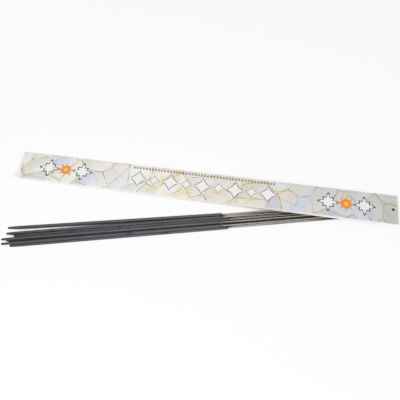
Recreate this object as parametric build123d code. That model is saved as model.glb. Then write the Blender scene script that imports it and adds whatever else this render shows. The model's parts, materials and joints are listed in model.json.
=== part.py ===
from build123d import *
import math
import os

# Long hand sparklers with the card packet that they are sold in. The sparklers lie in a loose heap on z = 0,
# with their bare wires under the packet. The packet leans on the two highest wires and on its own left end.
# Millimetres. X runs along the packet, from its open mouth to its hang hole. Z is up.

# Sparkler: a steel wire with a dipped coating
sparkler_length = 700.0
wire_diameter = 2.2
wire_end_chamfer = 0.3
coat_length = 406.0
coat_diameter = 5.5
tip_length = 16.0
tip_diameter = 4.4
tip_cover = 2.0
shoulder_length = 3.0

# Packet: a flat sleeve of folded card
packet_length = 750.0
packet_width = 63.0
packet_thickness = 6.4
card_thickness = 0.5
header_length = 22.0
end_panel_run = 20.0
hang_hole_diameter = 6.0
hang_hole_from_end = 10.5

# Heap: where the sparklers lie under the packet and beside each other
clearance = 0.3
heap_angle = 14.04
tail_from_packet_end = 23.4
tail_from_centre_line = 1.2
core_gap = 0.3
fan_gaps = (0.3, 0.3, 0.3)
fan_angles = (0.75, 0.05, 0.32)
floor_tip_reach = (14.5, 16.0, 1.2, 15.5, 10.5, 7.5)
upper_tip_reach = (22.0, 21.5)
upper_turns = (0.24, 0.0)

bare_length = sparkler_length - coat_length
coat_radius = coat_diameter / 2
wire_radius = wire_diameter / 2


def make_coat():
    """Coating along +X from its tip at the origin, with a blind bore for the wire."""
    tip_radius = tip_diameter / 2
    nose = Vector(tip_radius * (1 - math.cos(math.radians(45))), tip_radius * math.sin(math.radians(45)))
    shoulder_start = coat_length - shoulder_length
    with BuildPart() as coat:
        with BuildSketch(Plane.XY):
            with BuildLine():
                ThreePointArc((0, 0), nose, (tip_radius, tip_radius))
                Line((tip_radius, tip_radius), (tip_length, coat_radius))
                Line((tip_length, coat_radius), (shoulder_start, coat_radius))
                EllipticalCenterArc(
                    (shoulder_start, wire_radius),
                    shoulder_length,
                    coat_radius - wire_radius,
                    arc_size=90,
                )
                Polyline((coat_length, wire_radius), (tip_cover, wire_radius), (tip_cover, 0), (0, 0))
            make_face()
        revolve(axis=Axis.X)
    return coat.part


def make_wire():
    """Wire along +X: it starts inside the coating's tip and ends as the bare handle."""
    length = sparkler_length - tip_cover
    with BuildPart() as wire:
        with BuildSketch(Plane.YZ.offset(tip_cover)):
            Circle(wire_radius)
        extrude(amount=length)
        handle_end = wire.edges().filter_by(GeomType.CIRCLE).sort_by(Axis.X)[-1]
        chamfer(handle_end, wire_end_chamfer)
    return wire.part


def heap_axes():
    """Each sparkler's tip and direction in the heap's own frame: X along the heap, x = 0 at the last shoulder.

    Three sparklers fan out on the far side of three parallel ones on the floor. Two more lie on top, with their
    tails over the grooves between the parallel ones, as high as their turns make them cross what is under them.
    The far side is +Y.
    """
    core_pitch = coat_diameter + core_gap
    core_offsets = [core_pitch, 0.0, -core_pitch]
    floor = [(offset, 0.0) for offset in core_offsets]
    for gap, angle in reversed(list(zip(fan_gaps, fan_angles))):
        neighbour_offset, neighbour_slope = floor[0]
        spread = math.tan(math.radians(angle))
        coats_clear = coat_diameter + gap
        wires_clear = wire_diameter + clearance + spread * bare_length
        offset = neighbour_offset + max(coats_clear, wires_clear)
        floor.insert(0, (offset, neighbour_slope - spread))
    axes = []
    for (offset, slope), reach in zip(floor, floor_tip_reach):
        start = -coat_length - reach
        axes.append((Vector(start, offset + slope * start, coat_radius), Vector(1, slope, 0)))
    for side, reach, turn in zip((core_pitch / 2, -core_pitch / 2), upper_tip_reach, upper_turns):
        slope = -math.tan(math.radians(turn))
        start = -coat_length - reach
        drift = slope * (start - bare_length)
        least_aside = max(0.0, core_pitch / 2 - abs(drift))
        height = math.sqrt((coat_diameter + clearance) ** 2 - least_aside ** 2)
        axes.append((Vector(start, side + drift, coat_radius + height), Vector(1, slope, 0)))
    return axes


def place_heap(axes):
    """The sparklers' tips and directions in the packet's frame, with the heap's tail end under the packet."""
    heap_tail = Vector(bare_length, 0, 0)
    tail_target = Vector(packet_length - tail_from_packet_end, tail_from_centre_line, 0)
    shift = tail_target - heap_tail.rotate(Axis.Z, heap_angle)
    placed = []
    for tip, direction in axes:
        placed.append((tip.rotate(Axis.Z, heap_angle) + shift, direction.rotate(Axis.Z, heap_angle).normalized()))
    return placed


def packet_lean(axes):
    """Angle at which the packet, with its left end on the floor, clears every sparkler that runs under it."""
    slopes = [0.0]
    for tip, direction in axes:
        under_edge = max(0.0, (-packet_width / 2 - tip.Y) / direction.Y)
        if under_edge < sparkler_length:
            radius = coat_radius if under_edge < coat_length else wire_radius
            top = tip.Z + radius + clearance
            slopes.append(top / (tip.X + direction.X * under_edge))
    return math.degrees(math.atan(max(slopes)))


def extrude_profile(points, near_side, width):
    """A card panel: a profile in the packet's length and height, as wide as given from its near side."""
    with BuildPart() as panel:
        with BuildSketch(Plane.XZ.offset(-near_side)):
            with BuildLine():
                Polyline(*points, close=True)
            make_face()
        extrude(amount=-width)
    return panel.part


def make_packet():
    """The packet's panels in its own frame: mouth at x = 0, back panel on z = 0, centred on y = 0."""
    header_start = packet_length - header_length
    back_end = header_start - end_panel_run
    front_under = packet_thickness - card_thickness
    header_under = packet_thickness - 2 * card_thickness
    half_width = packet_width / 2

    def across(points):
        return extrude_profile(points, -half_width, packet_width)

    def box_profile(start, end, low, high):
        return [(start, low), (end, low), (end, high), (start, high)]

    front = across(box_profile(0, header_start, front_under, packet_thickness))
    back = across(box_profile(0, back_end, 0, card_thickness))
    end_slope = [(back_end, 0), (header_start, header_under), (header_start, front_under), (back_end, card_thickness)]
    side_wall = [(0, card_thickness), (back_end, card_thickness), (header_start, front_under), (0, front_under)]
    header = across(box_profile(header_start, packet_length, header_under, packet_thickness))
    hole_place = Pos(packet_length - hang_hole_from_end, 0, packet_thickness)
    header -= hole_place * Cylinder(hang_hole_diameter / 2, packet_thickness)
    return {
        "packet_front_panel": front,
        "packet_back_panel": back,
        "packet_near_side": extrude_profile(side_wall, -half_width, card_thickness),
        "packet_far_side": extrude_profile(side_wall, half_width - card_thickness, card_thickness),
        "packet_end_panel": across(end_slope),
        "packet_header": header,
    }


def make_assembly():
    """Every node in place, with the middle of the whole set's footprint at x = 0, y = 0."""
    axes = place_heap(heap_axes())
    lean = packet_lean(axes)
    nodes = {name: Rot(0, -lean, 0) * panel for name, panel in make_packet().items()}
    coat = make_coat()
    wire = make_wire()
    for number, (tip, direction) in enumerate(axes, start=1):
        place = Plane(origin=tip, x_dir=direction, z_dir=(0, 0, 1)).location
        nodes[f"sparkler_{number}_coating"] = place * coat
        nodes[f"sparkler_{number}_wire"] = place * wire
    box = Compound(list(nodes.values())).bounding_box()
    middle = Pos(-box.center().X, -box.center().Y, -box.min.Z)
    return {name: middle * solid for name, solid in nodes.items()}, middle, axes, lean


def main():
    os.makedirs("parts", exist_ok=True)
    nodes, middle, axes, lean = make_assembly()
    for name, solid in nodes.items():
        export_step(solid, f"parts/{name}.step")
    hole = Rot(0, -lean, 0) * Pos(packet_length - hang_hole_from_end, 0, packet_thickness - card_thickness)
    print("packet leans", lean, "degrees, hang hole centre", tuple((middle * hole).position))
    for number, (tip, direction) in enumerate(axes, start=1):
        print("sparkler", number, "tip", tuple((middle * Pos(tip)).position), "along", tuple(direction))


main()
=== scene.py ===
import json
import math
from collections import namedtuple

import bmesh
import bpy
from bpy.props import FloatProperty, FloatVectorProperty, IntProperty, PointerProperty
from mathutils import Matrix, Vector, noise


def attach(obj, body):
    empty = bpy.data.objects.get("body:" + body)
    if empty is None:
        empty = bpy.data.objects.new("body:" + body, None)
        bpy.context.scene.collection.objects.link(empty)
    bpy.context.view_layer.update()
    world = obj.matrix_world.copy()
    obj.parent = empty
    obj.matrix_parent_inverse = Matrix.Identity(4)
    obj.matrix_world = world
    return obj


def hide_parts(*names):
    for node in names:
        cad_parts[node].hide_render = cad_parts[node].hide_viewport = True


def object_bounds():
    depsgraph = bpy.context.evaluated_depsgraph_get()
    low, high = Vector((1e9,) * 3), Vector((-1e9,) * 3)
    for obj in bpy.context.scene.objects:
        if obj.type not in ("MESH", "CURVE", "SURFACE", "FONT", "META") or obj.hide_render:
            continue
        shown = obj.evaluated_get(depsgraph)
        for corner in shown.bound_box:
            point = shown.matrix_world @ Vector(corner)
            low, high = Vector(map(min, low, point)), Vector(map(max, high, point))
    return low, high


bl_info = {
    "name": "Sparkler Set",
    "version": (1, 0, 0),
    "blender": (4, 5, 0),
    "location": "3D View > Sidebar > Sparklers",
    "description": "Dresses a set of long hand sparklers and the printed card packet that they come in",
    "category": "Add Mesh",
}

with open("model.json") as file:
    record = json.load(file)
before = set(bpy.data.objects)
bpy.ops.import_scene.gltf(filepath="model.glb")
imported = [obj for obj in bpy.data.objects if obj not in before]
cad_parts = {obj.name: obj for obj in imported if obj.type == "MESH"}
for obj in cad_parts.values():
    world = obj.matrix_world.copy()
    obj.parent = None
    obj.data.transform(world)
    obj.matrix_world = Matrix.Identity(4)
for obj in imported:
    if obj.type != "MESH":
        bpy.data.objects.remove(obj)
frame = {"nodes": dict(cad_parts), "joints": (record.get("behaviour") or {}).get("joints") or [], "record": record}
cad_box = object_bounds()

# Distances in metres within which two points, or two levels, count as the same
SAME_POINT = 1e-6
SAME_LEVEL = 1e-5


# Places and sizes, read from the frame


def turn_to(x_axis, z_axis):
    """The rotation whose X and Z axes point these ways."""
    return Matrix((x_axis, z_axis.cross(x_axis), z_axis)).transposed().to_4x4()


def extent(nodes, turn):
    """Lowest and highest corner of CAD nodes, measured along the axes of a turned frame."""
    back = turn.inverted()
    points = [back @ vert.co for node in nodes for vert in frame["nodes"][node].data.vertices]
    low = Vector([min(point[axis] for point in points) for axis in range(3)])
    high = Vector([max(point[axis] for point in points) for axis in range(3)])
    return low, high


Strand = namedtuple("Strand", "number body place coat_length coat_radius wire_start wire_end wire_radius")


def read_strand(number):
    """One sparkler's place, with X along its wire from the coating's tip, and its sizes."""
    body = f"sparkler_{number}"
    joint = next(joint for joint in frame["joints"] if joint["child"] == body)
    turn = turn_to(-Vector(joint["axis"]).normalized(), Vector((0.0, 0.0, 1.0)))
    coat_low, coat_high = extent([f"{body}_coating"], turn)
    wire_low, wire_high = extent([f"{body}_wire"], turn)
    middle = (wire_low + wire_high) / 2
    tip = Vector((coat_low.x, middle.y, middle.z))
    return Strand(
        number,
        body,
        turn @ Matrix.Translation(tip),
        coat_length=coat_high.x - coat_low.x,
        coat_radius=(coat_high.z - coat_low.z) / 2,
        wire_start=wire_low.x - tip.x,
        wire_end=wire_high.x - tip.x,
        wire_radius=(wire_high.z - wire_low.z) / 2,
    )


Packet = namedtuple(
    "Packet", "place length width thickness card back_end header_start hole_along hole_radius"
)
PACKET_NODES = frame["record"]["behaviour"]["bodies"]["packet"]


def read_packet():
    """The packet's place, with its mouth at x = 0, its middle at y = 0 and its back on z = 0, and sizes."""
    hole = next(mount for mount in frame["record"]["mounts"] if mount["name"] == "hang_hole")
    up = Vector(hole["axis"])
    turn = turn_to(Vector((up.z, 0.0, -up.x)), up)
    low, high = extent(PACKET_NODES, turn)
    back_low, back_high = extent(["packet_back_panel"], turn)
    header_low = extent(["packet_header"], turn)[0]
    origin = Vector((low.x, (low.y + high.y) / 2, low.z))
    return Packet(
        turn @ Matrix.Translation(origin),
        length=high.x - low.x,
        width=high.y - low.y,
        thickness=high.z - low.z,
        card=back_high.z - back_low.z,
        back_end=back_high.x - low.x,
        header_start=header_low.x - low.x,
        hole_along=(turn.inverted() @ Vector(hole["pos_m"])).x - low.x,
        hole_radius=hole["dims"]["r_mm"] / 1000,
    )


strands = [read_strand(number) for number in range(1, len(frame["joints"]) + 1)]
packet = read_packet()


# Settings that a user would change


def paint(code):
    """A paint chart's six hex digits as the linear colour that a shader takes."""
    levels = [int(code[place:place + 2], 16) / 255 for place in (0, 2, 4)]
    return tuple(
        level / 12.92 if level <= 0.04045 else ((level + 0.055) / 1.055) ** 2.4 for level in levels
    )


def metres(name, description, default):
    """A length in metres."""
    return FloatProperty(
        name=name, description=description, default=default, min=0.0, precision=5, unit="LENGTH"
    )


def degrees(name, description, angle):
    """An angle, from its degrees."""
    return FloatProperty(name=name, description=description, default=math.radians(angle), subtype="ANGLE")


def hue(name, description, code):
    """A colour, from its paint chart code."""
    return FloatVectorProperty(
        name=name, description=description, default=paint(code), min=0.0, max=1.0, size=3, subtype="COLOR"
    )


class SparklerSettings(bpy.types.PropertyGroup):
    """Sizes and colours of the sparklers."""

    tip_length: metres("Tip Length", "Length of the coating's taper to its tip", 0.016)
    tip_radius: metres("Tip Radius", "Radius of the coating's round nose", 0.0022)
    shoulder_length: metres("Shoulder Length", "Length of the round end at the wire", 0.003)
    ragged_line: metres("Ragged Line", "How far the dip line wanders along the wire", 0.0012)
    lump_depth: metres("Lump Depth", "Depth of the hollows in the dried coating", 0.00018)
    ring_step: metres("Ring Step", "Distance between a sparkler's mesh rings", 0.001)
    coat_sides: IntProperty(name="Coat Sides", description="Sides of a coating's mesh", default=24, min=8)
    wire_sides: IntProperty(name="Wire Sides", description="Sides of a wire's mesh", default=16, min=8)
    wire_wander: metres("Wire Wander", "How far a bare wire strays from straight", 0.0001)
    cut_length: metres("Cut Length", "Length of the pinched cut end", 0.0016)
    coat_dark: hue("Coat Dark", "Darkest grey of the coating", "313236")
    coat_light: hue("Coat Light", "Palest grey of the coating", "595A5F")
    burn_colour: hue("Burns", "Dark spots and tips of the coating", "161719")
    grain_colour: hue("Grains", "Ash grey grains in the coating", "8A8B8F")
    flake_colour: hue("Flakes", "Metal flakes in the coating", "B9BABD")
    steel_colour: hue("Steel", "Bright drawn wire", "A39C90")
    stain_colour: hue("Stain", "Brown tarnish on the wire", "5B5244")


class PacketSettings(bpy.types.PropertyGroup):
    """Sizes and colours of the packet and its print."""

    fold_radius: metres("Fold Radius", "Radius of the four long folds", 0.0008)
    flap_width: metres("Flap Width", "Width of the glue flap inside the back", 0.012)
    flap_setback: metres("Flap Setback", "From the back's free edge to the far side", 0.0007)
    glue_gap: metres("Glue Line", "Thickness of the glue between layers", 0.00004)
    sag: metres("Sag", "How far the panels give between the folds", 0.0005)
    mesh_step: metres("Mesh Step", "Distance between the card's mesh lines", 0.005)
    cell_length: metres("Cell Length", "Length of a marble cell", 0.038)
    cell_width: metres("Cell Width", "Width of a marble cell", 0.052)
    vein_width: metres("Vein Width", "Width of a gold vein", 0.0014)
    mouth_margin: metres("Mouth Margin", "Bare card at the open end, at mid width", 0.006)
    header_margin: metres("Header Margin", "Bare card at the hang hole's end", 0.0025)
    mouth_skew: FloatProperty(
        name="Mouth Skew", description="How much the mouth's margin widens per metre to the near side",
        default=0.12,
    )
    star_pitch: metres("Star Pitch", "Distance between stars", 0.032)
    star_reach: metres("Star Reach", "Reach of a large star's points", 0.018)
    star_row_length: metres("Star Row Length", "Length of the row of stars", 0.288)
    burst_from_end: metres("Burst From End", "From each end to its group of bursts", 0.098)
    burst_reach: metres("Burst Reach", "Reach of a bright burst's rays", 0.017)
    spark_aside: metres("Spark Aside", "From a bright burst to its white sparks", 0.034)
    spark_reach: metres("Spark Reach", "Reach of a white spark's rays", 0.017)
    dash_pitch: metres("Dash Pitch", "Distance between dashes", 0.0062)
    paper: hue("Paper", "Bare white card", "F4F3F1")
    gold: hue("Gold", "Printed gold of the veins", "846838")
    glow: hue("Glow", "Pale gold beside the veins", "EBDCAF")
    beige: hue("Beige", "Marble cell", "E0DAD2")
    cream: hue("Cream", "Marble cell", "F0EADB")
    lavender: hue("Lavender", "Marble cell", "D9D7E2")
    mist: hue("Mist", "Marble cell", "E4ECF3")
    blue_grey: hue("Blue Grey", "Marble cell", "D0D8E3")
    sage: hue("Sage", "Marble cell", "DDDCD1")
    dusk: hue("Dusk", "Cool shade towards the hang hole", "9FAECF")
    warm_dusk: hue("Warm Dusk", "Warm shade towards the hang hole", "C2B8A2")
    olive: hue("Olive", "Print on the header", "C6C7AC")
    outline: hue("Outline", "Outlines of the stars, and the dashes", "78695A")
    ink: hue("Ink", "Outlines of the white sparks", "3C4353")
    orange: hue("Orange", "Rays of the bright bursts", "EA7A0C")
    yellow: hue("Yellow", "Heart of the bright bursts", "FFC93C")
    board: hue("Board", "Uncoated inside of the card", "D8D3C8")


class StageSettings(bpy.types.PropertyGroup):
    """Camera, lights and floor."""

    azimuth: degrees("Azimuth", "Camera's turn from straight in front", 8.745)
    elevation: degrees("Elevation", "Camera's height above the horizon", 59.927)
    distance: metres("Distance", "Camera's distance from its target", 0.94066)
    target: FloatVectorProperty(
        name="Target", description="Point on the floor that the camera faces",
        default=(-0.00088, 0.04924, 0.0), size=3, subtype="TRANSLATION",
    )
    view_angle: degrees("View Angle", "Camera's angle of view", 45.110)
    fill: FloatProperty(
        name="Fill", description="Strength of the even light from all round", default=0.52, min=0.0
    )
    key_power: FloatProperty(name="Key", description="Power of the soft lamp", default=15.0, unit="POWER")
    lamp_length: metres("Lamp Length", "Length of the soft lamp", 1.6)
    lamp_width: metres("Lamp Width", "Width of the soft lamp", 0.9)
    floor_glow: FloatProperty(
        name="Floor Glow", description="Share of plain white that the camera sees in the floor",
        default=0.82, subtype="FACTOR", min=0.0, max=1.0,
    )
    floor_fade: metres("Floor Fade", "Distance from the set where the floor is plain white", 1.5)
    floor_colour: hue("Floor", "Pale floor", "F7F7F7")
    # Painted shade: the dark grey that the floor's colour takes in the narrow gaps among the sparklers and under
    # the hang hole.
    painted_shade_colour: hue("Shade", "Floor in the narrow gaps under the set", "3C3D40")
    shade_reach: metres("Shade Reach", "Distance within which the set closes off the floor", 0.06)


# Shader nodes as Python expressions


def math_node(operation):
    """A method that adds a Math node for an operator."""
    return lambda self, *others: self.graph.maths(operation, self, *others)


def reflected(operation):
    """A method for an operator whose second term is the signal."""
    return lambda self, other: self.graph.maths(operation, other, self)


class Signal:
    """A number that changes over a surface. Arithmetic adds Math nodes, and | takes the larger of two."""

    def __init__(self, graph, socket):
        self.graph = graph
        self.socket = socket

    __add__ = __radd__ = math_node("ADD")
    __sub__ = math_node("SUBTRACT")
    __rsub__ = reflected("SUBTRACT")
    __mul__ = __rmul__ = math_node("MULTIPLY")
    __truediv__ = math_node("DIVIDE")
    __rtruediv__ = reflected("DIVIDE")
    __pow__ = math_node("POWER")
    __mod__ = math_node("FLOORED_MODULO")
    __or__ = __ror__ = math_node("MAXIMUM")
    __abs__ = math_node("ABSOLUTE")


class Graph:
    """The nodes of one material, or of the world."""

    def __init__(self, owner):
        owner.use_nodes = True
        self.owner = owner
        self.tree = owner.node_tree
        self.tree.nodes.clear()

    def node(self, kind, settings=None, inputs=None):
        """Adds a node: its settings are set first, then its sockets take values or links."""
        made = self.tree.nodes.new(kind)
        for name, value in (settings or {}).items():
            if name == "stops":
                self.set_stops(made.color_ramp, value)
            else:
                setattr(made, name, value)
        for key, value in (inputs or {}).items():
            source = value.socket if isinstance(value, Signal) else value
            if isinstance(source, bpy.types.NodeSocket):
                self.tree.links.new(source, made.inputs[key])
            else:
                made.inputs[key].default_value = source
        return made

    def set_stops(self, ramp, colours):
        """Gives each of a ramp's colours an equal part of it, without blends between them."""
        ramp.interpolation = "CONSTANT"
        while len(ramp.elements) < len(colours):
            ramp.elements.new(1.0)
        for number, (element, colour) in enumerate(zip(ramp.elements, colours)):
            element.position = number / len(colours)
            element.color = (*colour, 1.0)

    def signal(self, made, output=0):
        return Signal(self, made.outputs[output])

    def maths(self, operation, *terms):
        return self.signal(self.node("ShaderNodeMath", {"operation": operation}, dict(enumerate(terms))))

    def step(self, value, low, high):
        """A soft step from 0 at low to 1 at high."""
        limits = {"Value": value, "From Min": low, "From Max": high}
        return self.signal(self.node("ShaderNodeMapRange", {"interpolation_type": "SMOOTHSTEP"}, limits))

    def fall(self, value, low, high):
        """A soft step from 1 at low to 0 at high."""
        return 1.0 - self.step(value, low, high)

    def between(self, value, low, high):
        """1 from low to high, and 0 elsewhere."""
        return self.maths("GREATER_THAN", value, low) * self.maths("LESS_THAN", value, high)

    def blend(self, share, first, second):
        """A colour that goes from the first to the second as the share goes from 0 to 1."""
        inputs = {0: share}
        for key, colour in ((6, first), (7, second)):
            inputs[key] = colour if isinstance(colour, bpy.types.NodeSocket) else (*colour, 1.0)
        return self.node("ShaderNodeMix", {"data_type": "RGBA"}, inputs).outputs[2]

    def vector(self, operation, *terms, output="Vector"):
        made = self.node("ShaderNodeVectorMath", {"operation": operation}, dict(enumerate(terms)))
        return made.outputs[output]

    def measure(self, operation, *terms):
        """A number from one or two vectors, such as a length."""
        return Signal(self, self.vector(operation, *terms, output="Value"))

    def axis(self, place, number):
        """A place's measure along one axis."""
        return self.signal(self.node("ShaderNodeSeparateXYZ", {}, {0: place}), number)

    def noise(self, place, size, detail=2.0):
        """Soft noise whose patches are about the given size."""
        inputs = {"Vector": place, "Scale": 1.0 / size, "Detail": detail}
        return self.signal(self.node("ShaderNodeTexNoise", {}, inputs))

    def patches(self, place, size, low, high, detail=2.0):
        """Soft noise that is 0 wherever it is under low and 1 wherever it is over high."""
        return self.step(self.noise(place, size, detail), low, high)

    def attribute(self, name, output):
        return self.node("ShaderNodeAttribute", {"attribute_name": name}).outputs[output]

    def object_place(self):
        return self.node("ShaderNodeTexCoord").outputs["Object"]

    def bump(self, height, distance, strength):
        inputs = {"Height": height, "Distance": distance, "Strength": strength}
        return self.node("ShaderNodeBump", {}, inputs).outputs["Normal"]

    def surface(self, inputs):
        """Finishes a material with its Principled shader, and returns it."""
        shader = self.node("ShaderNodeBsdfPrincipled", {}, inputs)
        self.node("ShaderNodeOutputMaterial", {}, {"Surface": shader.outputs[0]})
        return self.owner


def dipped_coating_material(settings):
    """Dried sparkler composition: matt graphite grey with blotches, grains, flakes and a rough skin."""
    streak_size = 0.0030
    burn_size = 0.030
    grain_size = 0.0005
    flake_spacing = 0.0011
    rare = 0.86
    skin_size = 0.0007
    graph = Graph(bpy.data.materials.new("dipped_coating"))
    space = graph.attribute("strand_space", "Vector")
    streaks = graph.vector("MULTIPLY", space, (0.05, 1.0, 1.0))
    blotches = graph.patches(streaks, streak_size, 0.30, 0.62, detail=3.0)
    along_only = graph.vector("MULTIPLY", space, (1.0, 0.0, 0.0))
    burns = graph.patches(along_only, burn_size, 0.60, 0.68, detail=1.0)
    along = graph.maths("FRACT", graph.axis(space, 0))
    dark_tip = graph.fall(along, 0.001, 0.014)
    towards_tip = graph.fall(along, 0.02, 0.27)
    grains = graph.patches(space, grain_size, 0.58, 0.70, detail=1.0)
    cells = graph.node("ShaderNodeTexVoronoi", {}, {"Vector": space, "Scale": 1.0 / flake_spacing})
    luck = graph.signal(graph.node("ShaderNodeSeparateColor", {}, {0: cells.outputs["Color"]}))
    near_heart = graph.fall(graph.signal(cells), 0.16, 0.26)
    flakes = graph.maths("GREATER_THAN", luck, rare) * near_heart
    paleness = (0.2 + 0.6 * blotches) * (1.0 - 0.85 * towards_tip)
    colour = graph.blend(paleness, settings.coat_dark, settings.coat_light)
    colour = graph.blend(grains * 0.35, colour, settings.grain_colour)
    colour = graph.blend(0.75 * (burns | dark_tip), colour, settings.burn_colour)
    colour = graph.blend(flakes, colour, settings.flake_colour)
    skin = graph.noise(space, skin_size, detail=3.0) + 0.5 * grains
    return graph.surface({
        "Base Color": colour,
        "Metallic": 0.85 * flakes,
        "Roughness": 0.50 + 0.10 * blotches - 0.25 * flakes,
        "Normal": graph.bump(skin, distance=0.0001, strength=0.7),
    })


def drawn_wire_material(settings):
    """Bright drawn steel: fine lines from the die, brown tarnish, and smears near the dip line."""
    die_line_size = 0.00016
    tarnish_size = 0.0024
    smear_size = 0.0016
    smear_reach = 0.009
    graph = Graph(bpy.data.materials.new("drawn_wire"))
    space = graph.attribute("strand_space", "Vector")
    past_dip_line = Signal(graph, graph.attribute("past_dip_line", "Fac"))
    drawn_out = graph.vector("MULTIPLY", space, (0.006, 1.0, 1.0))
    die_lines = graph.noise(drawn_out, die_line_size)
    long_patches = graph.vector("MULTIPLY", space, (0.03, 1.0, 1.0))
    tarnish = graph.patches(long_patches, tarnish_size, 0.48, 0.74, detail=3.0)
    near_dip = graph.fall(past_dip_line, 0.0, smear_reach)
    smears = near_dip * graph.patches(space, smear_size, 0.40, 0.62)
    colour = graph.blend(0.22 * die_lines, settings.steel_colour, settings.stain_colour)
    colour = graph.blend(0.6 * tarnish, colour, settings.stain_colour)
    colour = graph.blend(0.8 * smears, colour, settings.coat_dark)
    return graph.surface({
        "Base Color": colour,
        "Metallic": 1.0 - 0.25 * tarnish - 0.7 * smears,
        "Roughness": 0.24 + 0.12 * die_lines + 0.16 * tarnish + 0.2 * smears,
        "Normal": graph.bump(die_lines, distance=0.00003, strength=0.5),
    })


def marble_print(graph, settings, sheet):
    """Pale marble shards with soft shading. Returns their colour and the mask of the gold veins."""
    drift_size = 0.085
    cloud_size = 0.030
    uneven_size = 0.020
    hair_patch_size = 0.055
    drift_reach = (0.045, 0.030, 0.0)
    shard_lean = 38.0
    hair_lean = -47.0
    glow_shift = (0.045, 0.03, 0.0)
    waves = {"Vector": sheet, "Scale": 1.0 / drift_size, "Detail": 1.5}
    drift = graph.node("ShaderNodeTexNoise", {}, waves).outputs[1]
    drift = graph.vector("SUBTRACT", drift, (0.5, 0.5, 0.5))
    drifted = graph.vector("ADD", sheet, graph.vector("MULTIPLY", drift, drift_reach))
    shares = (1.0 / settings.cell_length, 1.0 / settings.cell_width, 0.0)
    flat = {"voronoi_dimensions": "2D"}

    def shard_space(lean):
        turn = (0.0, 0.0, math.radians(lean))
        turned = graph.node("ShaderNodeMapping", {}, {"Vector": drifted, "Rotation": turn})
        return graph.vector("MULTIPLY", turned.outputs[0], shares)

    def from_edge(space):
        look = {**flat, "feature": "DISTANCE_TO_EDGE"}
        edge = graph.node("ShaderNodeTexVoronoi", look, {"Vector": space, "Scale": 1.0})
        return graph.signal(edge) * (settings.cell_length + settings.cell_width) / 2

    shards = shard_space(shard_lean)
    cells = graph.node("ShaderNodeTexVoronoi", flat, {"Vector": shards, "Scale": 1.0})
    luck = graph.signal(graph.node("ShaderNodeSeparateColor", {}, {0: cells.outputs["Color"]}))
    tones = [settings.mist, settings.beige, settings.lavender, settings.cream, settings.blue_grey]
    tones += [settings.paper, settings.sage]
    tone = graph.node("ShaderNodeValToRGB", {"stops": tones}, {0: luck}).outputs[0]
    slant = graph.axis(graph.vector("SUBTRACT", shards, cells.outputs["Position"]), 0)
    clouds = graph.noise(drifted, cloud_size, detail=3.0)
    pale = graph.step(slant + 1.4 * clouds, 0.25, 1.35)
    colour = graph.blend(0.85 * pale, tone, settings.paper)
    unevenness = graph.noise(sheet, uneven_size)
    half_width = settings.vein_width / 2 * graph.step(unevenness, 0.30, 0.75) + 0.0001
    veins = graph.fall(from_edge(shards), 0.5 * half_width, 1.5 * half_width)
    hairs = graph.fall(from_edge(shard_space(hair_lean)), 0.0001, 0.0005)
    hairs = hairs * graph.patches(sheet, hair_patch_size, 0.44, 0.56, detail=1.0)
    glow_side = graph.vector("ADD", shards, glow_shift)
    beside = graph.fall(from_edge(glow_side), 0.0, 5.0 * settings.vein_width)
    colour = graph.blend(0.75 * beside * unevenness, colour, settings.glow)
    return colour, veins | 0.7 * hairs


def star_row(graph, settings, from_start, across):
    """A level that is 1 on the edges of a row of four-pointed stars, large and small, and less inside."""
    curve = 0.72
    smaller = 0.36
    outside = 9.0
    in_row = graph.between(from_start, 0.0, settings.star_row_length)
    aside = from_start % settings.star_pitch - settings.star_pitch / 2
    small = graph.maths("FLOOR", from_start / settings.star_pitch) % 2.0
    reach = settings.star_reach * (1.0 - smaller * small)
    level = (abs(aside) / reach) ** curve + (abs(across) / reach) ** curve
    return level + outside * (1.0 - in_row)


def spark_burst(graph, along, across, centre, reach, rays):
    """A level that is 1 on the edge of a burst of long and short rays, and less inside."""
    body, short, longer = 0.52, 0.18, 0.30
    aside = along - centre
    away = graph.maths("SQRT", aside * aside + across * across)
    angle = graph.maths("ARCTAN2", across, aside)
    lobes = abs(graph.maths("COSINE", angle * (rays / 2)))
    long_rays = abs(graph.maths("COSINE", angle * (rays / 4)))
    edge = reach * (body + (short + longer * long_rays ** 4.0) * lobes ** 2.0)
    return away / edge


def dash_row(graph, settings, from_start, across):
    """Mask of a row of small dashes as long as the row of stars, along the front's far edge."""
    pitch = settings.dash_pitch
    half_length, half_width = 0.32 * pitch, 0.42 * pitch
    count = int(settings.star_row_length / pitch)
    level = packet.width / 2 - 1.1 * pitch
    inside = graph.between(from_start, 0.0, count * pitch)
    aside = abs(from_start % pitch - pitch / 2) / half_length
    aloft = abs(across - level) / half_width
    return inside * graph.fall(aside | aloft, 0.85, 1.15)


def white_shape(graph, settings, colour, level, line, ink):
    """Prints a white shape with an inked line. Returns the colour and the mask of what it covers."""
    covered = graph.fall(level, 1.0 + line, 1.06 + line)
    colour = graph.blend(covered, colour, ink)
    body = graph.fall(level, 0.95, 1.0)
    return graph.blend(body, colour, settings.paper), covered


def print_ornaments(graph, settings, colour, along, across):
    """Prints the stars, bursts and dashes. Returns the colour and the mask of the stars and bursts."""
    star_line, spark_line = 0.06, 0.20
    from_start = along - (packet.length - settings.star_row_length) / 2
    stars = star_row(graph, settings, from_start, across)
    colour, covered = white_shape(graph, settings, colour, stars, star_line, settings.outline)
    for centre in (settings.burst_from_end, packet.length - settings.burst_from_end):
        for side in (-settings.spark_aside, settings.spark_aside):
            spark = spark_burst(graph, along, across, centre + side, settings.spark_reach, rays=8)
            colour, inked = white_shape(graph, settings, colour, spark, spark_line, settings.ink)
            covered = covered | inked
        level = spark_burst(graph, along, across, centre, settings.burst_reach, rays=16)
        bright = graph.blend(graph.step(level, 0.15, 0.75), settings.yellow, settings.orange)
        burst = graph.fall(level, 0.94, 1.02)
        colour = graph.blend(burst, colour, bright)
        covered = covered | burst
    dashes = dash_row(graph, settings, from_start, across)
    return graph.blend(0.75 * dashes, colour, settings.outline), covered


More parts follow.
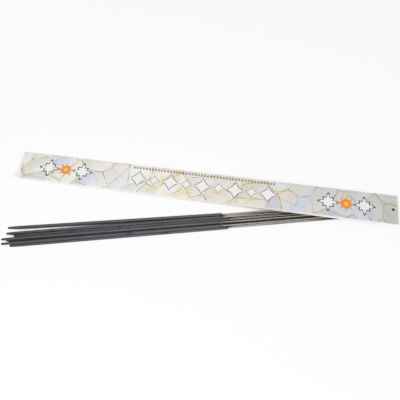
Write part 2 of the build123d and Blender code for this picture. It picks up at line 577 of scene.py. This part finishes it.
def sheen_and_tones_along(graph, settings, colour, sheet, along):
    """Tones the print: a painted sheen makes the packet's middle pale, with golden patches there, then it turns
    dusky, and olive on the header.
    """
    golden_size = 0.026
    cool_size = 0.050
    length = packet.length

    def stretch(start, full, fade, end):
        """Mask of a part of the packet with soft ends, all in shares of its length."""
        rise = graph.step(along, start * length, full * length)
        return rise * graph.fall(along, fade * length, end * length)

    # Painted sheen: the print is blended towards paper white in the packet's middle.
    colour = graph.blend(0.40 * stretch(0.16, 0.30, 0.50, 0.66), colour, settings.paper)
    golden = stretch(0.30, 0.40, 0.58, 0.66) * graph.patches(sheet, golden_size, 0.42, 0.62)
    colour = graph.blend(0.75 * golden, colour, settings.glow)
    dusk = graph.step(along, 0.50 * length, 0.85 * length)
    cool = graph.patches(sheet, cool_size, 0.34, 0.54, detail=1.0)
    tone = graph.blend(cool, settings.warm_dusk, settings.dusk)
    colour = graph.blend(0.42 * dusk, colour, tone)
    header = graph.step(along, packet.back_end, packet.header_start)
    return graph.blend(0.55 * header, colour, settings.olive)


def printed_card_material(settings):
    """Satin print on white card: marble, gold veins, stars and bursts, worn pale along the folds."""
    fibre_size = 0.0006
    wear_size = 0.003
    margin_blur = 0.0002
    graph = Graph(bpy.data.materials.new("printed_card"))
    sheet = graph.attribute("sheet", "Vector")
    along = graph.axis(sheet, 0)
    across = graph.axis(sheet, 1)
    colour, veins = marble_print(graph, settings, sheet)
    colour = sheen_and_tones_along(graph, settings, colour, sheet, along)
    colour = graph.blend(0.9 * veins, colour, settings.gold)
    colour, covered = print_ornaments(graph, settings, colour, along, across)
    mouth_edge = settings.mouth_margin - settings.mouth_skew * across
    header_edge = packet.length - settings.header_margin
    margin = graph.fall(along - mouth_edge, -margin_blur, 0.0)
    margin = margin + graph.step(along, header_edge, header_edge + margin_blur)
    past_fold = abs(across) - packet.width / 2
    # Painted light: the side walls past the folds are blended towards paper white so that they look lit; the bare
    # margins at the ends are plain card.
    walls_painted_light = graph.step(past_fold, -0.0005, 0.0004) * graph.fall(past_fold - packet.thickness, 0.0, 0.0008)
    bare_card_and_painted_light = margin | 0.85 * walls_painted_light
    colour = graph.blend(bare_card_and_painted_light, colour, settings.paper)
    wear = graph.fall(abs(past_fold), 0.0002, 0.0011) * graph.noise(sheet, wear_size, detail=3.0)
    colour = graph.blend(wear, colour, settings.paper)
    fibres = graph.noise(sheet, fibre_size)
    return graph.surface({
        "Base Color": colour,
        "Metallic": 0.45 * veins * (1.0 - covered) * (1.0 - bare_card_and_painted_light),
        "Roughness": 0.36 + 0.10 * fibres + 0.2 * wear,
        "Coat Weight": 0.25,
        "Coat Roughness": 0.2,
        "Normal": graph.bump(fibres + 0.8 * veins, distance=0.00004, strength=0.35),
    })


def bare_board_material(settings):
    """Uncoated inside of the card, with its fibres."""
    fibre_size = 0.0009
    graph = Graph(bpy.data.materials.new("bare_board"))
    long_fibres = graph.vector("MULTIPLY", graph.object_place(), (0.3, 1.0, 1.0))
    fibres = graph.noise(long_fibres, fibre_size, detail=4.0)
    colour = graph.blend(fibres, settings.board, settings.paper)
    normal = graph.bump(fibres, distance=0.00005, strength=0.5)
    return graph.surface({"Base Color": colour, "Roughness": 0.85, "Normal": normal})


def cut_edge_material(settings):
    """Cut edge of the card: its white core, with the layers of pulp."""
    layer_size = 0.00012
    graph = Graph(bpy.data.materials.new("cut_edge"))
    flat_layers = graph.vector("MULTIPLY", graph.object_place(), (0.05, 0.05, 1.0))
    layers = graph.noise(flat_layers, layer_size)
    colour = graph.blend(0.4 * layers, settings.paper, settings.board)
    normal = graph.bump(layers, distance=0.00003, strength=0.4)
    return graph.surface({"Base Color": colour, "Roughness": 0.8, "Normal": normal})


# Shapes


def unit_noise(point):
    """Smooth noise from 0 to 1 at a point."""
    return 0.5 + 0.5 * noise.noise(point)


def lathe(outline, sides, ring_step, fine_from=0.0):
    """A closed shape turned about X from an outline of (x, radius) points, with both ends on the axis.

    Forward runs past fine_from are cut into rings a step apart.
    """
    shape = bmesh.new()
    points = [shape.verts.new((x, 0.0, radius)) for x, radius in outline]
    runs = [shape.edges.new(pair) for pair in zip(points, points[1:])]
    for run, (start, end) in zip(runs, zip(outline, outline[1:])):
        cuts = int((end[0] - start[0]) / ring_step)
        if cuts > 0 and start[0] >= fine_from:
            bmesh.ops.subdivide_edges(shape, edges=[run], cuts=cuts)
    profile = shape.verts[:] + shape.edges[:]
    about_x = {"cent": (0.0, 0.0, 0.0), "axis": (1.0, 0.0, 0.0), "angle": math.tau}
    bmesh.ops.spin(shape, geom=profile, **about_x, steps=sides, use_merge=True)
    bmesh.ops.remove_doubles(shape, verts=shape.verts[:], dist=SAME_POINT)
    bmesh.ops.recalc_face_normals(shape, faces=shape.faces[:])
    return shape


def remember_strand_space(shape, strand):
    """Keeps each point's place on its sparkler for the materials, a metre apart for each sparkler."""
    space = shape.verts.layers.float_vector.new("strand_space")
    past_dip_line = shape.verts.layers.float.new("past_dip_line")
    for vert in shape.verts:
        vert[space] = vert.co + Vector((float(strand.number), 0.0, 0.0))
        vert[past_dip_line] = vert.co.x - strand.coat_length


def make_piece(name, shape, place, materials, body, nodes):
    """Makes a shape a finished piece that rides on its body and stands for CAD nodes."""
    sharp_angle = math.radians(42.0)
    bmesh.ops.transform(shape, matrix=place, verts=shape.verts[:])
    mesh = bpy.data.meshes.new(name)
    shape.to_mesh(mesh)
    shape.free()
    for material in materials:
        mesh.materials.append(material)
    mesh.shade_smooth()
    mesh.set_sharp_from_angle(angle=sharp_angle)
    piece = bpy.data.objects.new(name, mesh)
    bpy.context.scene.collection.objects.link(piece)
    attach(piece, body)
    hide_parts(*nodes)


def coating_shape(strand, settings):
    """A dipped coating: a round nose, a taper, the body, a round shoulder and its wire's blind bore."""
    quarter = [math.radians(angle) for angle in range(0, 91, 15)]
    nose = settings.tip_radius
    shoulder = strand.coat_length - settings.shoulder_length
    rise = strand.coat_radius - strand.wire_radius
    outline = [(nose * (1.0 - math.cos(turn)), nose * math.sin(turn)) for turn in quarter]
    outline.append((settings.tip_length, strand.coat_radius))
    for turn in quarter:
        along = shoulder + settings.shoulder_length * math.sin(turn)
        outline.append((along, strand.wire_radius + rise * math.cos(turn)))
    outline += [(strand.wire_start, strand.wire_radius), (strand.wire_start, 0.0)]
    shape = lathe(outline, settings.coat_sides, settings.ring_step)
    remember_strand_space(shape, strand)
    roughen_coating(shape, strand, settings)
    return shape


def roughen_coating(shape, strand, settings):
    """Gives a coating lumps and grains, never past its full thickness, and a ragged dip line.

    The lumps fade out over the last third of the thickness, down to the wire.
    """
    lump_sizes_and_shares = ((0.030, 0.45), (0.006, 0.30), (0.0013, 0.25))
    raggedness = 1.4
    seed = Vector((7.3, 3.1, 5.7)) * strand.number
    rise = strand.coat_radius - strand.wire_radius
    shoulder = strand.coat_length - 2.0 * settings.shoulder_length
    for vert in shape.verts:
        radius = math.hypot(vert.co.y, vert.co.z)
        thickness = (radius - strand.wire_radius) / rise
        if thickness <= 0.0:
            continue
        hollow = sum(share * unit_noise(vert.co / size + seed) for size, share in lump_sizes_and_shares)
        narrowed = (radius - settings.lump_depth * hollow * min(1.0, 3.0 * thickness)) / radius
        if vert.co.x > shoulder:
            past = (vert.co.x - shoulder) / (strand.coat_length - shoulder)
            around = vert.co / radius
            around.x = 0.0
            vert.co.x -= settings.ragged_line * past * unit_noise(raggedness * around + seed)
        vert.co.y *= narrowed
        vert.co.z *= narrowed


def wire_shape(strand, settings):
    """A drawn wire: plain inside the coating, a little bent where it is bare, with a pinched cut end."""
    radius = strand.wire_radius
    chamfer = 0.25 * radius
    pinch_share = 0.35
    bend_start = 0.05
    bend_length = 0.07
    seed = 4.3 * strand.number
    bare_from = strand.coat_length - settings.shoulder_length
    outline = [
        (strand.wire_start, 0.0),
        (strand.wire_start, radius),
        (bare_from, radius),
        (strand.wire_end - settings.cut_length, radius),
        (strand.wire_end - chamfer, radius),
        (strand.wire_end, radius - chamfer),
        (strand.wire_end, 0.0),
    ]
    shape = lathe(outline, settings.wire_sides, 2.0 * settings.ring_step, bare_from)
    remember_strand_space(shape, strand)
    for vert in shape.verts:
        past = vert.co.x - bare_from
        if past <= 0.0:
            continue
        pinch = max(0.0, 1.0 - (strand.wire_end - vert.co.x) / settings.cut_length)
        vert.co.x -= pinch_share * pinch * (vert.co.z + radius)
        vert.co.z *= 1.0 - pinch_share * pinch
        loose = min(1.0, past / bend_start) * settings.wire_wander
        vert.co.y += loose * noise.noise(Vector((past / bend_length, seed, 0.0)))
        vert.co.z += loose * noise.noise(Vector((past / bend_length, seed, 9.0)))
    return shape


def folded_strip(settings):
    """The packet's strip of card round its four folds: glue flap, far side, front, near side and back."""
    half = packet.width / 2
    inner_level = packet.card + settings.glue_gap
    corners = [
        (half - settings.flap_width, inner_level),
        (half, inner_level),
        (half, packet.thickness),
        (-half, packet.thickness),
        (-half, 0.0),
        (half - settings.flap_setback, 0.0),
    ]
    shape = bmesh.new()
    points = [shape.verts.new((0.0, across, height)) for across, height in corners]
    edges = [shape.edges.new(pair) for pair in zip(points, points[1:])]
    made = bmesh.ops.extrude_edge_only(shape, edges=edges)
    far_end = [item for item in made["geom"] if isinstance(item, bmesh.types.BMVert)]
    bmesh.ops.translate(shape, verts=far_end, vec=(packet.length, 0.0, 0.0))
    folds = [edge for edge in shape.edges if len(edge.link_faces) == 2]
    bmesh.ops.bevel(
        shape, geom=folds, offset=settings.fold_radius, offset_type="OFFSET", affect="EDGES",
        segments=4, profile=0.5, material=-1,
    )
    bmesh.ops.recalc_face_normals(shape, faces=shape.faces[:])
    front = max(shape.faces, key=lambda face: face.calc_center_median().z)
    if front.normal.z < 0.0:
        bmesh.ops.reverse_faces(shape, faces=shape.faces[:])
    return shape


def cut_across(shape, place, normal, faces):
    """Adds a line of edges where a plane meets the given faces of the card."""
    parts = dict.fromkeys(part for face in faces for part in (*face.verts, *face.edges))
    bmesh.ops.bisect_plane(
        shape, geom=[*parts, *faces], dist=SAME_POINT, plane_co=place, plane_no=normal
    )


def divide_card(shape, settings):
    """Divides the strip along and across, with lines at the start of the sloped end and of the header."""
    long_edges = [edge for edge in shape.edges if edge.calc_length() > 0.9 * packet.length]
    bmesh.ops.subdivide_edges(shape, edges=long_edges, cuts=int(packet.length / settings.mesh_step))
    wide_edges = [
        edge for edge in shape.edges
        if edge.calc_length() > 2.0 * packet.thickness
        and abs(edge.verts[0].co.x - edge.verts[1].co.x) < SAME_POINT
    ]
    bmesh.ops.subdivide_edges(shape, edges=wide_edges, cuts=int(packet.width / settings.mesh_step))
    for along in (packet.back_end, packet.header_start):
        cut_across(shape, (along, 0.0, 0.0), (1.0, 0.0, 0.0), shape.faces[:])


def faces_at(shape, level, start):
    """The card's faces at one level, past a place along the packet."""
    middles = [(face, face.calc_center_median()) for face in shape.faces]
    return [face for face, middle in middles if abs(middle.z - level) < SAME_LEVEL and middle.x > start]


def punch_hole(shape, level):
    """Opens the hang hole in the card at this level: a square window, closed again up to a circle."""
    window = 2.0 * packet.hole_radius

    def in_window(point, slack):
        aside = max(abs(point.x - packet.hole_along), abs(point.y))
        return aside < window + slack and abs(point.z - level) < SAME_LEVEL

    for side in (-window, window):
        corner = (packet.hole_along + side, side, 0.0)
        for normal in ((1.0, 0.0, 0.0), (0.0, 1.0, 0.0)):
            cut_across(shape, corner, normal, faces_at(shape, level, packet.header_start))
    inside = [face for face in shape.faces if in_window(face.calc_center_median(), 0.0)]
    bmesh.ops.delete(shape, geom=inside, context="FACES")
    rim = [
        edge for edge in shape.edges
        if edge.is_boundary and all(in_window(vert.co, SAME_LEVEL) for vert in edge.verts)
    ]
    centre = Matrix.Translation((packet.hole_along, 0.0, level))
    circle = bmesh.ops.create_circle(shape, segments=32, radius=packet.hole_radius, matrix=centre)
    round_edges = dict.fromkeys(edge for vert in circle["verts"] for edge in vert.link_edges)
    outwards = (0.0, 0.0, 1.0 if level > 0.0 else -1.0)
    bmesh.ops.triangle_fill(shape, edges=[*rim, *round_edges], use_beauty=True, normal=outwards)


def remember_sheet(shape):
    """Keeps each point's place on the flat strip: along it, and across from the front's middle."""
    sheet = shape.verts.layers.float_vector.new("sheet")
    half = packet.width / 2
    for vert in shape.verts:
        along, across, height = vert.co
        down = packet.thickness - height
        on_side = abs(across) > half - SAME_LEVEL
        if height > packet.thickness / 2:
            reach = math.copysign(abs(across) + down, across)
        elif on_side:
            reach = math.copysign(half + down, across)
        elif across < 0.0 or height < packet.card / 2:
            reach = -(packet.width + down + across)
        else:
            reach = packet.width + down - across
        vert[sheet] = (along, reach, 0.0)


def close_packet(shape, settings):
    """Trims the glue flap, lets the panels give, and lifts the back to the front at the sealed end."""
    sag_length, sag_width, seed = 0.11, 0.06, 2.0
    flap = faces_at(shape, packet.card + settings.glue_gap, packet.back_end - settings.mesh_step)
    bmesh.ops.delete(shape, geom=flap, context="FACES")
    half = packet.width / 2
    sealed_level = packet.thickness - 2.0 * packet.card - settings.glue_gap
    for vert in shape.verts:
        along, across, height = vert.co
        rise = (along - packet.back_end) / (packet.header_start - packet.back_end)
        rise = min(1.0, max(0.0, rise))
        free = (1.0 - rise) * max(0.0, 1.0 - (across / half) ** 2)
        give = settings.sag * free * unit_noise(Vector((along / sag_length, across / sag_width, seed)))
        upper = height > packet.thickness / 2
        height += -give if upper else 0.5 * give
        lowest = sealed_level * rise
        vert.co.z = lowest + height * (packet.thickness - lowest) / packet.thickness


def thicken_card(shape):
    """Gives the card its thickness, inwards. Materials 0, 1 and 2 are its printed, bare and cut faces."""
    printed = shape.faces[:]
    printed_verts = set(shape.verts)
    bmesh.ops.solidify(shape, geom=printed, thickness=packet.card)
    for face in shape.faces:
        outside = sum(vert in printed_verts for vert in face.verts)
        face.material_index = 0 if outside == len(face.verts) else (1 if outside == 0 else 2)


# Stage


def seen_directly(graph):
    """1 where the camera looks, also by a mirror or through glass, and 0 for other light."""
    path = graph.node("ShaderNodeLightPath")
    seen = graph.signal(path, "Is Camera Ray") | graph.signal(path, "Is Glossy Ray")
    return seen | graph.signal(path, "Is Transmission Ray")


def painted_shade_band(graph, place):
    """1 on the floor between the outermost sparklers, up to where they go under the packet: the band where the
    gaps get painted shade.
    """
    blur = strands[0].wire_radius
    fade_start, fade_end = 0.008, 0.024

    def past(line, point):
        """Distance past a line on the floor, which runs along the X of a piece's place."""
        across = line.to_3x3().col[1]
        return graph.measure("DOT_PRODUCT", place, across) - point.dot(across)

    across = strands[0].place.to_3x3().col[1]
    ordered = sorted(strands, key=lambda strand: strand.place.translation.dot(across))
    near, far = ordered[0].place, ordered[-1].place
    packet_edge = packet.place @ Vector((0.0, -packet.width / 2, 0.0))
    inside = graph.step(past(near, near.translation), -blur, blur)
    inside = inside * graph.fall(past(far, far.translation), -blur, blur)
    return inside * graph.fall(past(packet.place, packet_edge), fade_start, fade_end)


def from_painted_hole_spot(graph, settings, place):
    """Distance on the floor from the patch that the camera sees through the hang hole, in hole radii: a dark spot
    of painted shade sits there, so that the hole looks dark.
    """
    hole = packet.place @ Vector((packet.hole_along, 0.0, packet.thickness - packet.card))
    sight = hole - camera_place(settings)
    patch = hole - sight * (hole.z / sight.z)
    return graph.measure("DISTANCE", place, patch) / packet.hole_radius


def floor_shade(graph, settings, place):
    """Masks of the floor's painted shade, in its gaps among the sparklers and in a spot under the hole, and of all
    its shade.
    """
    up = (0.0, 0.0, 1.0)
    front_left = (-0.5, -0.7, 0.5)
    back_right = (0.5, 0.7, 0.5)

    def openness(way, rays):
        """Share of the rays about this way that meet no piece within reach."""
        normal = graph.node("ShaderNodeCombineXYZ", {}, dict(enumerate(way))).outputs[0]
        inputs = {"Normal": normal, "Distance": settings.shade_reach}
        return graph.signal(graph.node("ShaderNodeAmbientOcclusion", {"samples": rays}, inputs), "AO")

    above = openness(up, rays=40)
    in_front = graph.step(openness(front_left, rays=48), 0.60, 0.69)
    behind = graph.step(openness(back_right, rays=12), 0.80, 1.0)
    closed = 1.0 - (graph.step(above, 0.52, 0.64) | in_front)
    lit = graph.step(above, 0.45, 0.64) | in_front | behind
    from_painted_spot = from_painted_hole_spot(graph, settings, place)
    # Painted shade: occluded floor between the sparklers, and a spot under the hang hole, get the dark shade
    # colour.
    gaps = (closed * painted_shade_band(graph, place)) | graph.fall(from_painted_spot, 0.9, 1.8)
    return gaps, gaps | graph.fall(from_painted_spot, 1.2, 3.4) | (1.0 - lit)


def floor_material(settings):
    """Pale floor with the set's soft shadow, and painted shade in its narrow gaps and under the hang hole, which
    fades to plain white.
    """
    fade_start = 0.6
    graph = Graph(bpy.data.materials.new("pale_floor"))
    place = graph.object_place()
    gaps, shade = floor_shade(graph, settings, place)
    # Painted shade: the floor's colour turns dark grey in the gaps and under the hang hole.
    colour = graph.blend(gaps, settings.floor_colour, settings.painted_shade_colour)
    shaded = graph.node("ShaderNodeBsdfDiffuse", {}, {"Color": colour})
    white = graph.node("ShaderNodeEmission", {}, {"Strength": 1.0})
    far = graph.step(graph.measure("LENGTH", place), fade_start, settings.floor_fade)
    glow = (1.0 - shade) * (settings.floor_glow + (1.0 - settings.floor_glow) * far)
    seen = graph.node("ShaderNodeMixShader", {}, {0: glow, 1: shaded.outputs[0], 2: white.outputs[0]})
    plain = graph.node("ShaderNodeBsdfDiffuse", {}, {"Color": (*settings.floor_colour, 1.0)})
    whole = {0: seen_directly(graph), 1: plain.outputs[0], 2: seen.outputs[0]}
    mix = graph.node("ShaderNodeMixShader", {}, whole)
    graph.node("ShaderNodeOutputMaterial", {}, {"Surface": mix.outputs[0]})
    return graph.owner


def make_floor(settings):
    """A wide pale floor just under the set."""
    reach, gap = 6.0, 0.0001
    shape = bmesh.new()
    bmesh.ops.create_grid(shape, x_segments=1, y_segments=1, size=reach)
    level = cad_box[0].z - gap
    bmesh.ops.translate(shape, verts=shape.verts[:], vec=(0.0, 0.0, level))
    mesh = bpy.data.meshes.new("floor")
    shape.to_mesh(mesh)
    shape.free()
    mesh.materials.append(floor_material(settings))
    floor = bpy.data.objects.new("floor", mesh)
    bpy.context.scene.collection.objects.link(floor)


def aim(holder, target):
    """Turns a lamp or a camera to face a point."""
    holder.rotation_euler = (Vector(target) - holder.location).to_track_quat("-Z", "Y").to_euler()


def make_light(scene, settings):
    """Even white light from all round, and one wide soft lamp high in front of the set."""
    lamp_place = (-0.15, -0.85, 1.25)
    world = bpy.data.worlds.new("studio")
    scene.world = world
    graph = Graph(world)
    strength = settings.fill + (1.0 - settings.fill) * seen_directly(graph)
    sky = graph.node("ShaderNodeBackground", {}, {"Color": (1.0, 1.0, 1.0, 1.0), "Strength": strength})
    graph.node("ShaderNodeOutputWorld", {}, {"Surface": sky.outputs[0]})
    lamp = bpy.data.lights.new("soft_lamp", "AREA")
    lamp.shape = "RECTANGLE"
    lamp.size = settings.lamp_length
    lamp.size_y = settings.lamp_width
    lamp.energy = settings.key_power
    holder = bpy.data.objects.new("soft_lamp", lamp)
    holder.location = lamp_place
    aim(holder, (0.0, 0.0, 0.0))
    scene.collection.objects.link(holder)


def camera_place(settings):
    """Where the camera stands, at its distance from its target."""
    flat = math.cos(settings.elevation)
    back = Vector((
        math.sin(settings.azimuth) * flat,
        -math.cos(settings.azimuth) * flat,
        math.sin(settings.elevation),
    ))
    return Vector(settings.target) + settings.distance * back


def make_camera(scene, settings):
    """A camera at the set's usual viewing angle."""
    lens = bpy.data.cameras.new("camera")
    lens.sensor_fit = "HORIZONTAL"
    lens.angle = settings.view_angle
    lens.clip_start = 0.01
    camera = bpy.data.objects.new("camera", lens)
    camera.location = camera_place(settings)
    aim(camera, settings.target)
    scene.collection.objects.link(camera)
    scene.camera = camera


# Operators


def make_strand_pieces(kind, node, shape_maker, material, settings):
    """Makes one piece for each sparkler, in place of its node."""
    for strand in strands:
        shape = shape_maker(strand, settings)
        nodes = [f"{strand.body}_{node}"]
        make_piece(f"{strand.body}_{kind}", shape, strand.place, [material], strand.body, nodes)


class SPARKLERS_OT_coatings(bpy.types.Operator):
    """Make the dipped coatings of all the sparklers"""

    bl_idname = "sparklers.coatings"
    bl_label = "Coatings"

    def execute(self, context):
        settings = context.scene.sparkler_settings
        material = dipped_coating_material(settings)
        make_strand_pieces("dipped_coating", "coating", coating_shape, material, settings)
        return {"FINISHED"}


class SPARKLERS_OT_wires(bpy.types.Operator):
    """Make the drawn wires of all the sparklers"""

    bl_idname = "sparklers.wires"
    bl_label = "Wires"

    def execute(self, context):
        settings = context.scene.sparkler_settings
        material = drawn_wire_material(settings)
        make_strand_pieces("drawn_wire", "wire", wire_shape, material, settings)
        return {"FINISHED"}


class SPARKLERS_OT_packet(bpy.types.Operator):
    """Make the folded and printed card packet"""

    bl_idname = "sparklers.packet"
    bl_label = "Packet"

    def execute(self, context):
        settings = context.scene.packet_settings
        shape = folded_strip(settings)
        divide_card(shape, settings)
        for level in (packet.thickness, 0.0):
            punch_hole(shape, level)
        remember_sheet(shape)
        close_packet(shape, settings)
        thicken_card(shape)
        looks = (printed_card_material, bare_board_material, cut_edge_material)
        materials = [look(settings) for look in looks]
        name = "packet_folded_card"
        make_piece(name, shape, packet.place, materials, "packet", PACKET_NODES)
        return {"FINISHED"}


class SPARKLERS_OT_stage(bpy.types.Operator):
    """Make the pale floor, the soft light and the camera"""

    bl_idname = "sparklers.stage"
    bl_label = "Stage"

    def execute(self, context):
        settings = context.scene.stage_settings
        make_floor(settings)
        make_light(context.scene, settings)
        make_camera(context.scene, settings)
        context.scene.view_settings.view_transform = "Standard"
        return {"FINISHED"}


class SPARKLERS_PT_set(bpy.types.Panel):
    """Makes the set's pieces one by one, with their settings"""

    bl_idname = "SPARKLERS_PT_set"
    bl_label = "Sparkler Set"
    bl_space_type = "VIEW_3D"
    bl_region_type = "UI"
    bl_category = "Sparklers"

    def draw(self, context):
        for operator, group in operators.items():
            box = self.layout.box()
            box.operator(operator.bl_idname)
            for name in groups[group].__annotations__:
                box.prop(getattr(context.scene, group), name)


groups = {
    "sparkler_settings": SparklerSettings,
    "packet_settings": PacketSettings,
    "stage_settings": StageSettings,
}
operators = {
    SPARKLERS_OT_stage: "stage_settings",
    SPARKLERS_OT_wires: "sparkler_settings",
    SPARKLERS_OT_coatings: "sparkler_settings",
    SPARKLERS_OT_packet: "packet_settings",
}
classes = (*groups.values(), *operators, SPARKLERS_PT_set)


def register():
    for cls in classes:
        bpy.utils.register_class(cls)
    for name, group in groups.items():
        setattr(bpy.types.Scene, name, PointerProperty(type=group))


def unregister():
    for name in groups:
        delattr(bpy.types.Scene, name)
    for cls in reversed(classes):
        bpy.utils.unregister_class(cls)


def main():
    register()
    bpy.ops.sparklers.stage()
    bpy.ops.sparklers.wires()
    bpy.ops.sparklers.coatings()
    bpy.ops.sparklers.packet()


if __name__ == "__main__":
    main()
